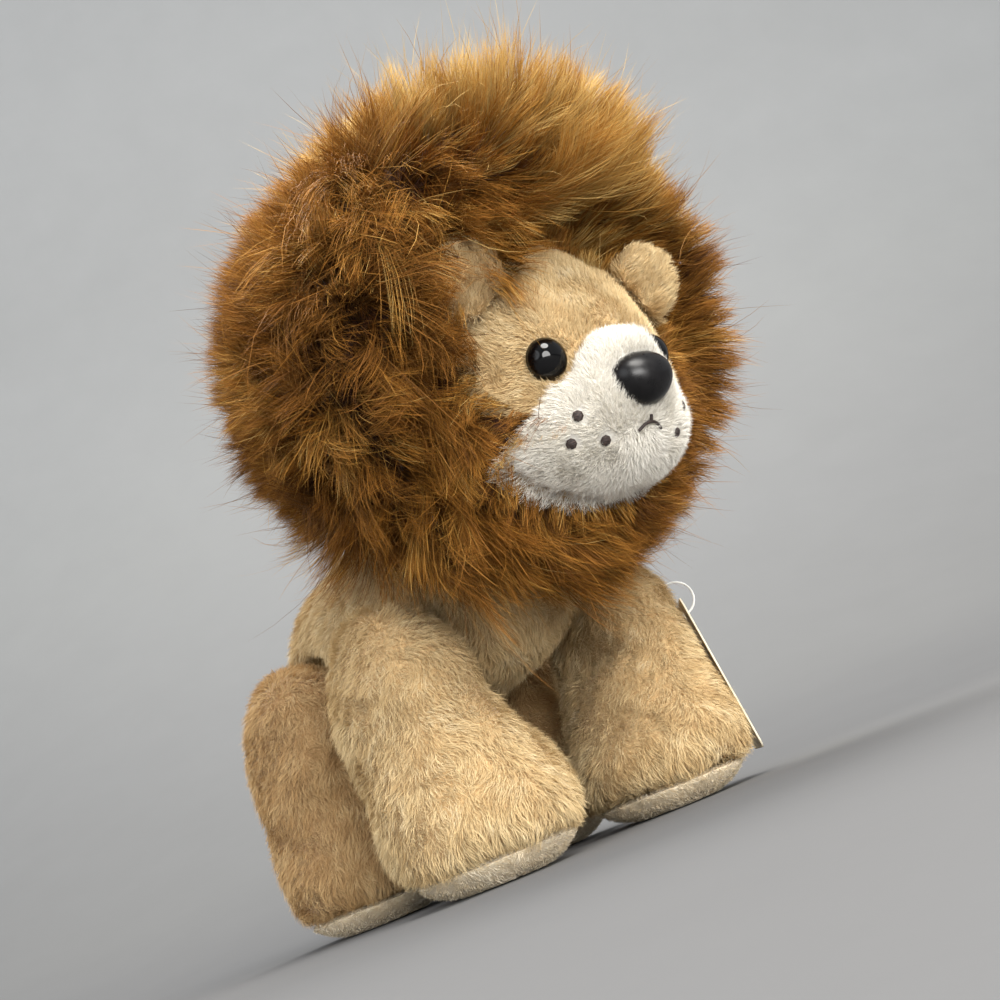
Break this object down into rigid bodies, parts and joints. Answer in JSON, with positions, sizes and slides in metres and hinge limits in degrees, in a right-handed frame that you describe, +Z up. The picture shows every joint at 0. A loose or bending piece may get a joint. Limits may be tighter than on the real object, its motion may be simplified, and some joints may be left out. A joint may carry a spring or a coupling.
{
  "type": "plush lion",
  "caption": "Stuffed toy lion standing on four big paws, with a long-pile mane round its face and a bare paper hang tag.",
  "frame": {"origin": "on the floor under the middle of the toy's box", "axes": "+Z up, the lion faces -Y, its left side is +X"},
  "size_m": [0.209, 0.3156, 0.2884],
  "materials": {
    "plush_tan": "matte",
    "plush_white": "matte",
    "plush_cream": "matte",
    "pile_rust": "matte",
    "black_gloss": "gloss",
    "black_satin": "satin",
    "washer_plastic": "matte",
    "thread_dark": "matte",
    "paper": "matte",
    "clear_plastic": "satin"
  },
  "bodies": {
    "torso": {"torso": "plush_tan"},
    "head": {"head": "plush_tan", "muzzle": "plush_white", "ear_left": "plush_tan", "ear_right": "plush_tan", "mouth_stitch": "thread_dark", "whisker_dot_left_1": "thread_dark", "whisker_dot_left_2": "thread_dark", "whisker_dot_left_3": "thread_dark", "whisker_dot_right_1": "thread_dark", "whisker_dot_right_2": "thread_dark", "whisker_dot_right_3": "thread_dark", "mane_front": "pile_rust", "mane_back": "pile_rust", "eye_left": "black_gloss", "eye_right": "black_gloss", "eye_washer_left": "washer_plastic", "eye_washer_right": "washer_plastic", "nose": "black_satin", "nose_washer": "washer_plastic"},
    "leg_front_left": {"front_leg_left": "plush_tan", "front_sole_left": "plush_cream", "tag_fastener": "clear_plastic"},
    "leg_front_right": {"front_leg_right": "plush_tan", "front_sole_right": "plush_cream"},
    "leg_hind_left": {"hind_leg_left": "plush_tan", "hind_sole_left": "plush_cream"},
    "leg_hind_right": {"hind_leg_right": "plush_tan", "hind_sole_right": "plush_cream"},
    "tail": {"tail": "plush_tan", "tail_tuft": "pile_rust"},
    "tag": {"hang_tag": "paper"}
  },
  "joints": [
    {"name": "neck_nod", "type": "hinge", "parent": "torso", "child": "head", "pos_m": [0, -0.01006, 0.114], "axis": [1, 0, 0], "range_deg": [-12, 12], "stiffness_Nm_per_rad": 4},
    {"name": "front_left_swing", "type": "hinge", "parent": "torso", "child": "leg_front_left", "pos_m": [0.034, -0.01606, 0.072], "axis": [1, 0, 0], "range_deg": [-20, 6], "stiffness_Nm_per_rad": 1},
    {"name": "front_right_swing", "type": "hinge", "parent": "torso", "child": "leg_front_right", "pos_m": [-0.034, -0.01606, 0.072], "axis": [1, 0, 0], "range_deg": [-20, 6], "stiffness_Nm_per_rad": 1},
    {"name": "hind_left_swing", "type": "hinge", "parent": "torso", "child": "leg_hind_left", "pos_m": [0.034, 0.07194, 0.074], "axis": [1, 0, 0], "range_deg": [-6, 20], "stiffness_Nm_per_rad": 1},
    {"name": "hind_right_swing", "type": "hinge", "parent": "torso", "child": "leg_hind_right", "pos_m": [-0.034, 0.07194, 0.074], "axis": [1, 0, 0], "range_deg": [-6, 20], "stiffness_Nm_per_rad": 1},
    {"name": "tail_wag", "type": "hinge", "parent": "torso", "child": "tail", "pos_m": [0, 0.10594, 0.118], "axis": [0, 1, 0], "range_deg": [-40, 40], "stiffness_Nm_per_rad": 0.02},
    {"name": "tag_swing", "type": "hinge", "parent": "leg_front_left", "child": "tag", "pos_m": [0.07537, -0.0362, 0.07746], "axis": [-0.6691, -0.7431, 0], "range_deg": [0, 40]}
  ]
}
